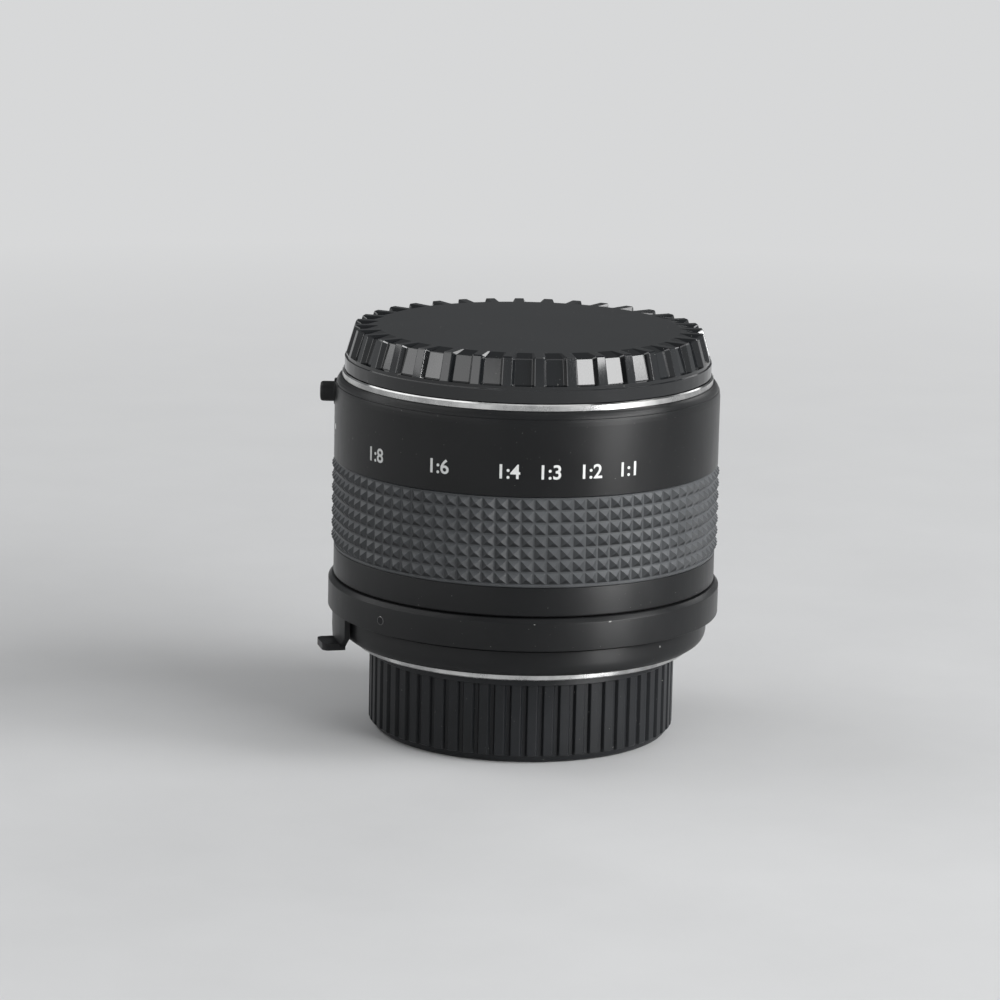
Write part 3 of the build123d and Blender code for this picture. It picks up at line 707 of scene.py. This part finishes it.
REAR_RIBS = 60
REAR_RIB_CENTRE = 4.5
REAR_RIB_FACE, REAR_RIB_FLANK = 3.2, 0.8
CLAW_TIP_R = 22.6 * mm
rear_r, _, rear_top = reach("rear_cap")[1:]
rear_bore = rear_r - 1.7 * mm
rear_rib_r = rear_r - 0.12 * mm
rear_valley_r = rear_rib_r - 0.55 * mm
rear_foot_r = rear_valley_r - 0.1 * mm
rear_round = 1.1 * mm
rear_lip = rear_top - 1.3 * mm
rear_inside = rounded([
    (rear_r, rear_top),
    (rear_bore, rear_top),
    (rear_bore, CAP_WALL),
    (0, CAP_WALL),
], 0.15 * mm)
rear_start = [
    (0, 0),
    *quarter_round(rear_foot_r, rear_round, rear_round, rear_round, step=15),
    (rear_foot_r, 1.25 * mm),
]
rear_end = [(rear_r - 0.1 * mm, rear_lip), (rear_r, rear_lip + 0.1 * mm)] + rear_inside
rear_valley = rear_start + [
    (rear_valley_r, 1.32 * mm),
    (rear_valley_r, 1.45 * mm),
    (rear_valley_r, rear_lip - 0.1 * mm),
    (rear_valley_r + 0.1 * mm, rear_lip),
] + rear_end
rear_crest = rear_start + [
    (rear_rib_r - 0.15 * mm, 1.32 * mm),
    (rear_rib_r, 1.5 * mm),
    (rear_rib_r, rear_lip - 0.1 * mm),
    (rear_rib_r, rear_lip),
] + rear_end
ribbed("rear_cap_shell", rear_valley, rear_crest, REAR_RIBS, REAR_RIB_CENTRE, REAR_RIB_FACE,
       REAR_RIB_FLANK, satin_cap, "rear_cap", ["rear_cap"], crease=20)
flange_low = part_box("rear_mount_ring")[0].z + BAYONET_DEPTH
claw_low = flange_low - LUG_SETBACK + RUNNING_GAP
for azimuth in LUG_AZIMUTHS:
    arc_block(f"rear_cap_claw_{azimuth}", CLAW_TIP_R, rear_bore + 0.2 * mm, claw_low, rear_top,
              azimuth + LUG_PITCH / 2, LUG_PITCH - GAP_SPAN, satin_cap, "rear_cap")

# Coupling ring, with the pocket of its tab

tab_play = 0.05 * mm
coup_in, coup_r, coup_low, coup_top = reach("coupling_ring")
retainer_r = reach("coupling_retainer")[1]
tab_start, tab_end = azimuths("coupling_tab")
tab_points = [v.co for v in nodes["coupling_tab"].data.vertices if v.co.z > coup_low]
tab_in = min(hypot(p.x, p.y) for p in tab_points) - tab_play
tab_out = max(hypot(p.x, p.y) for p in tab_points) + tab_play
tab_top = max(p.z for p in tab_points) + tab_play


def coupling_outline(pocket_top):
    """The coupling ring's section, with a pocket in its foot that is as high as asked."""
    chamfer = 0.65 * mm
    recess = retainer_r + RUNNING_GAP
    recess_floor = coup_top - 0.6 * mm
    return rounded([
        (coup_in, coup_low),
        (tab_in, coup_low),
        (tab_in + 0.01 * mm, pocket_top),
        (tab_out - 0.01 * mm, pocket_top),
        (tab_out, coup_low),
        (coup_r, coup_low),
        (coup_r, coup_top - chamfer),
        (coup_r - chamfer, coup_top),
        (recess, coup_top),
        (recess, recess_floor),
        (coup_in, recess_floor),
    ], 0.1 * mm)


lathe("coupling_band", coupling_outline(coup_low), satin, "coupling",
      ["coupling_ring"], cuts=[(tab_start - 0.1, tab_end + 0.1, coupling_outline(tab_top))])

# Base ring, with the window of the coupling arm

base_r, base_low, base_high = reach("base_ring")[1:]
base_bore = 24.6 * mm
floor_top = base_low + 2.0 * mm
neck_r = coup_in - BEARING_GAP
shoulder = coup_low - 0.12 * mm
step_r = base_r - 0.3 * mm
step_z = shoulder - 0.5 * mm
base_round = 1.2 * mm
round_top = base_low + 0.45 * (shoulder - base_low)
round_rise = round_top - base_low - 0.2 * mm
tube_seat = reach("guide_tube")[1] + 0.05 * mm


def base_outline(neck_top):
    """The base ring's section, with its neck as high as asked."""
    return rounded([
        (base_bore, base_low),
        (base_r - base_round, base_low),
        *quarter_round(base_r, base_round, round_top, round_rise, step=10),
        (base_r, step_z),
        (step_r, step_z),
        (step_r, shoulder),
        (neck_r, shoulder),
        (neck_r, neck_top),
        (tube_seat, neck_top),
        (tube_seat, floor_top),
        (base_bore, floor_top),
    ], 0.08 * mm)


arm_start, arm_end = azimuths("coupling_arm")
arm_low = min(v.co.z for v in nodes["coupling_arm"].data.vertices)
lathe("base_band", base_outline(base_high), satin, "base", ["base_ring"],
      cuts=[(arm_start - WINDOW_MARGIN, arm_end + COUPLING_TURN + WINDOW_MARGIN,
             base_outline(arm_low - 0.3 * mm))])

# Small fasteners

FRONT_SCREW_CIRCLE, FRONT_SCREW_R = 27.6 * mm, 1.35 * mm
REAR_SCREW_CIRCLE, REAR_SCREW_R = 26.6 * mm, 1.3 * mm
SCREW_SINK = -0.3 * mm
SET_SCREW_AZIMUTH = 225.2
SOCKET_R = 0.62 * mm


def cross_screw(name, place, axis, radius, body):
    """A flat screw head, flush with the face that it is in, with its cross recess drawn as two dark
    bars: painted shade, not a cut recess.
    """
    rim = 0.03 * mm
    axis = Vector(axis)
    spun(name, [(0, SCREW_SINK), (radius, SCREW_SINK), (radius, 0), (radius - rim, rim), (0, rim)],
         place, axis, steel, body)
    turn = Vector((0, 0, 1)).rotation_difference(axis)
    top = place + axis * (rim + 0.01 * mm)
    # The recess is not cut: two dark bars lie across the head as painted shade of the recess.
    for k, angle in enumerate((20, 110)):
        along = turn @ polar_point(radius * 0.55, angle, 0)
        across = turn @ polar_point(radius * 0.13, angle + 90, 0)
        corners = [top - along - across, top + along - across,
                   top + along + across, top - along + across]
        points = corners + [p - axis * 0.05 * mm for p in corners]
        faces = [(0, 1, 2, 3), (7, 6, 5, 4), (0, 4, 5, 1), (1, 5, 6, 2), (2, 6, 7, 3), (3, 7, 4, 0)]
        piece(f"{name}_painted_recess_shade_{k}", points, faces, inner, body)


for azimuth in SCREW_AZIMUTHS:
    front_place = polar_point(FRONT_SCREW_CIRCLE, azimuth, mount_top)
    rear_place = polar_point(REAR_SCREW_CIRCLE, azimuth, flange_low)
    cross_screw(f"front_screw_{azimuth}", front_place, (0, 0, 1), FRONT_SCREW_R, "front")
    cross_screw(f"rear_screw_{azimuth}", rear_place, (0, 0, -1), REAR_SCREW_R, "base")

set_screw_z = coup_low + 0.42 * (coup_top - coup_low)
set_screw_place = polar_point(coup_r, SET_SCREW_AZIMUTH, set_screw_z)
set_screw_axis = polar_point(1, SET_SCREW_AZIMUTH, 0)
spun("set_screw",
     [(SOCKET_R, SCREW_SINK), (SOCKET_R, 0.02 * mm), (0.64 * mm, 0.04 * mm), (0.7 * mm, 0.04 * mm),
      (0.74 * mm, 0.0), (0.74 * mm, SCREW_SINK)],
     set_screw_place, set_screw_axis, blackened, "coupling")
# The socket is not cut: a dark disc over it is painted shade of the hole.
spun("set_screw_socket_shade", [(0, 0.025 * mm), (SOCKET_R, 0.025 * mm), (0.63 * mm, SCREW_SINK)],
     set_screw_place, set_screw_axis, inner, "coupling")

# Printed numbers and marks

PRINT_DEPTH = 0.025 * mm
PRINT_WEIGHT = 0.05 * mm


def wrapped(name, corners, faces, azimuth, z, radius, material, body):
    """Flat (x, y, depth) points wrapped round the axis: x goes round it, and y up from z."""
    points = []
    for x, y, depth in corners:
        angle = radians(azimuth) + x / radius
        points.append(((radius + depth) * cos(angle), (radius + depth) * sin(angle), z + y))
    return piece(name, points, faces, material, body, crease=40)


def printed(name, words, size, azimuth, z, radius, body):
    """Numbers wrapped round the axis, centred on an azimuth, with their foot at z."""
    curve = bpy.data.curves.new(name + "_curve", "FONT")
    curve.body = words
    curve.size = size
    curve.align_x = "CENTER"
    curve.offset = PRINT_WEIGHT
    curve.extrude = PRINT_DEPTH
    curve.resolution_u = 4
    holder = placed(name + "_curve", curve)
    bpy.context.view_layer.update()
    solid = holder.evaluated_get(bpy.context.evaluated_depsgraph_get())
    flat = bpy.data.meshes.new_from_object(solid)
    bpy.data.objects.remove(holder)
    corners = [tuple(v.co) for v in flat.vertices]
    faces = [tuple(p.vertices) for p in flat.polygons]
    return wrapped(name, corners, faces, azimuth, z, radius, white_paint, body)


def patch(name, width, height, azimuth, z, radius, material, body, sides=24, ragged=0.0):
    """A thin round mark, or a ragged spot of wear."""
    corners = []
    for depth in (-PRINT_DEPTH, PRINT_DEPTH):
        for k in range(sides):
            angle = 2 * pi * k / sides
            wobble = 1 + ragged * sin(5 * angle + azimuth) * cos(3 * angle + 2 * azimuth)
            corners.append((width / 2 * wobble * cos(angle), height / 2 * wobble * sin(angle),
                            depth))
    faces = [tuple(range(sides)), tuple(range(sides, 2 * sides))]
    faces += [(k, (k + 1) % sides, sides + (k + 1) % sides, sides + k) for k in range(sides)]
    return wrapped(name, corners, faces, azimuth, z, radius, material, body)


NUMBER_SIZE = 3.3 * mm
DOT_SIZE = 1.0 * mm
DOT_AZIMUTH = 189.4
number_z = barrel_low + 3.0 * mm
dot_z = barrel_low + 5.6 * mm
for name, words, azimuth in (("ratio_a", "1:8", 220.5), ("ratio_b", "1:6", 244),
                             ("ratio_c", "1:4", 265), ("ratio_d", "1:3", 277),
                             ("ratio_e", "1:2", 289), ("ratio_f", "1:1", 301)):
    printed(name, words, NUMBER_SIZE, azimuth, number_z, barrel_r, "front")
patch("index_dot", DOT_SIZE, DOT_SIZE, DOT_AZIMUTH, dot_z, barrel_r, white_paint, "front")

# Magnification scale on the guide tube: a line comes out from under the focusing ring just before
# the extension that it stands for

guide_r = reach("guide_tube")[1]
SCALE_LEAD = 0.75 * mm
SCALE_SIZE = 2.1 * mm
SCALE_DROP = 1.9 * mm
LINE_WIDTH, LINE_HEIGHT, LINE_STEPS = 3.6 * mm, 0.16 * mm, 6
line_section = ((0, -PRINT_DEPTH), (LINE_HEIGHT, -PRINT_DEPTH),
                (LINE_HEIGHT, PRINT_DEPTH), (0, PRINT_DEPTH))
line_corners = [((step / LINE_STEPS - 0.5) * LINE_WIDTH, rise, depth)
                for step in range(LINE_STEPS + 1) for rise, depth in line_section]
line_faces = [(0, 1, 2, 3), tuple(4 * LINE_STEPS + k for k in range(4))]
line_faces += [(4 * step + k, 4 * step + (k + 1) % 4, 4 * step + 4 + (k + 1) % 4, 4 * step + 4 + k)
               for step in range(LINE_STEPS) for k in range(4)]
for ratio, azimuth in ((8, 300), (6, 291), (4, 282), (3, 273), (2, 264), (1, 255)):
    line_z = focus_low + FULL_EXTENSION / ratio - SCALE_LEAD
    wrapped(f"scale_line_{ratio}", line_corners, line_faces, azimuth, line_z, guide_r,
            white_paint, "base")
    printed(f"scale_ratio_{ratio}", f"1:{ratio}", SCALE_SIZE, azimuth, line_z - SCALE_DROP,
            guide_r, "base")

# Specks of bare metal on the edges

chip_z = coup_top - 0.72 * mm
for name, width, height, azimuth, z, radius, body in (
        ("wear_a", 0.55 * mm, 0.22 * mm, 295.6, chip_z, coup_r, "coupling"),
        ("wear_b", 0.22 * mm, 0.14 * mm, 273.5, chip_z - 0.05 * mm, coup_r, "coupling"),
        ("wear_c", 0.30 * mm, 0.34 * mm, 317, shoulder - 1.5 * mm, base_r, "base")):
    patch(name, width, height, azimuth, z, radius, bare_metal, body, ragged=0.35)

# Camera

bpy.context.scene.view_settings.view_transform = "Standard"
CAMERA_PLACE = (0, -0.679, 0.185175)
right = Vector((0.99970862, 0.01087837, 0.02154825))
up = Vector((-0.02335365, 0.21010377, 0.97740013))
forward = Vector((-0.00610515, 0.97761857, -0.2102966))
camera_data = bpy.data.cameras.new("camera")
camera_data.lens = 147.3
camera_data.sensor_width = 36
camera_data.clip_start = 0.05
camera_data.clip_end = 30
camera = placed("camera", camera_data)
camera_turn = Matrix((right, up, -forward)).transposed().to_4x4()
camera.matrix_world = Matrix.Translation(CAMERA_PLACE) @ camera_turn
bpy.context.scene.camera = camera

# Lights: azimuth and elevation, width and height, radiance, and turn about the line to the object

LIGHT_DISTANCE = 1.3
LIGHT_TARGET = Vector((0, 0, 0.04))
for name, azimuth, elevation, size, radiance, roll in (
        ("key", 328, 25, (1.2, 0.27), 12, 0),
        ("far_right", 350, 34, (0.6, 0.5), 7, 0),
        ("low_key", 323, 3.6, (0.5, 0.12), 42, 0),
        ("fill_behind", 183, 20, (1.1, 0.32), 2.4, 0),
        ("fill_before", 229, 20, (1.1, 0.32), 2.0, 0),
        ("side_top", 162, 51, (1.3, 0.5), 2, 49),
        ("back", 61, 31, (0.7, 0.4), 2.6, 0),
        ("overhead", 300, 78, (0.8, 0.8), 0.9, 0)):
    data = bpy.data.lights.new(name, "AREA")
    data.shape = "RECTANGLE"
    data.size, data.size_y = size
    data.energy = radiance * pi * size[0] * size[1]
    away = polar_point(cos(radians(elevation)), azimuth, sin(radians(elevation)))
    aim = (-away).to_track_quat("-Z", "Y") @ Quaternion((0, 0, 1), radians(roll))
    light = placed(name, data)
    light.location = LIGHT_TARGET + away * LIGHT_DISTANCE
    light.rotation_euler = aim.to_euler()
    light.visible_camera = False

# World: the camera, gloss and glass see a backdrop that is pale low down and darker above and
# behind the object, and the object is lit by an even, weak sky

SKY_COLOUR = (0.80, 0.82, 0.84)
SKY_LIGHT = 0.12
SKY_PALE, SKY_DARK = 0.75, 0.2
BEHIND_SHARE = 0.2
world = bpy.data.worlds.new("studio")
bpy.context.scene.world = world
world.use_nodes = True
sky = world.node_tree
background = sky.nodes["Background"]
background.inputs["Color"].default_value = (*SKY_COLOUR, 1)
heading = add(sky, "ShaderNodeSeparateXYZ")
sky.links.new(add(sky, "ShaderNodeTexCoord").outputs["Generated"], heading.inputs["Vector"])
height_tone = span(sky, heading.outputs["Z"], SKY_PALE, SKY_DARK, from_low=0.3, from_high=0.65)
behind_tone = span(sky, heading.outputs["Y"], 1, BEHIND_SHARE, from_low=0.5, from_high=0.9)
backdrop = calculate(sky, "MULTIPLY", height_tone, behind_tone)
sky_lift = calculate(sky, "SUBTRACT", backdrop, SKY_LIGHT)
sky_seen = calculate(sky, "MULTIPLY", sky_lift, sight(sky))
sky.links.new(calculate(sky, "ADD", sky_seen, SKY_LIGHT), background.inputs["Strength"])

# Floor

FLOOR_REACH = 12.0
FLOOR_PALE = (0.68, 0.685, 0.69)
FLOOR_BOUNCE = (0.28, 0.285, 0.29)
FLOOR_TONES = [(0.3, (0.60, 0.605, 0.61)), (0.7, (0.63, 0.635, 0.64))]
FAR_START, FAR_END = 0.10, 0.55


def pale_floor(name):
    """A matt floor that is darker to what it lights than to the camera.

    Away from the object it has its own pale light, so that it stays even to the picture's edge.
    """
    material, tree, surface = shader(name, Roughness=0.7, Specular_IOR_Level=0.2)
    tone = ramp(tree, noise(tree, 30, 4), FLOOR_TONES)
    seen = sight(tree)
    tree.links.new(blend(tree, seen, FLOOR_BOUNCE, tone), surface.inputs["Base Color"])
    distance, _ = axis_distance(tree)
    far = span(tree, distance, 0, 1, FAR_START, FAR_END)
    pale = add(tree, "ShaderNodeEmission", {"Color": (*FLOOR_PALE, 1), "Strength": 1.0})
    mix = add(tree, "ShaderNodeMixShader")
    tree.links.new(calculate(tree, "MULTIPLY", seen, far), mix.inputs["Fac"])
    tree.links.new(surface.outputs["BSDF"], mix.inputs[1])
    tree.links.new(pale.outputs["Emission"], mix.inputs[2])
    tree.links.new(mix.outputs["Shader"], tree.nodes["Material Output"].inputs["Surface"])
    return material


floor_mesh = bpy.data.meshes.new("floor")
floor_corners = [(x * FLOOR_REACH, y * FLOOR_REACH, 0) for x, y in SQUARE]
floor_mesh.from_pydata(floor_corners, [], [(0, 1, 2, 3)])
floor_mesh.materials.append(pale_floor("pale_floor"))
floor = placed("floor", floor_mesh)
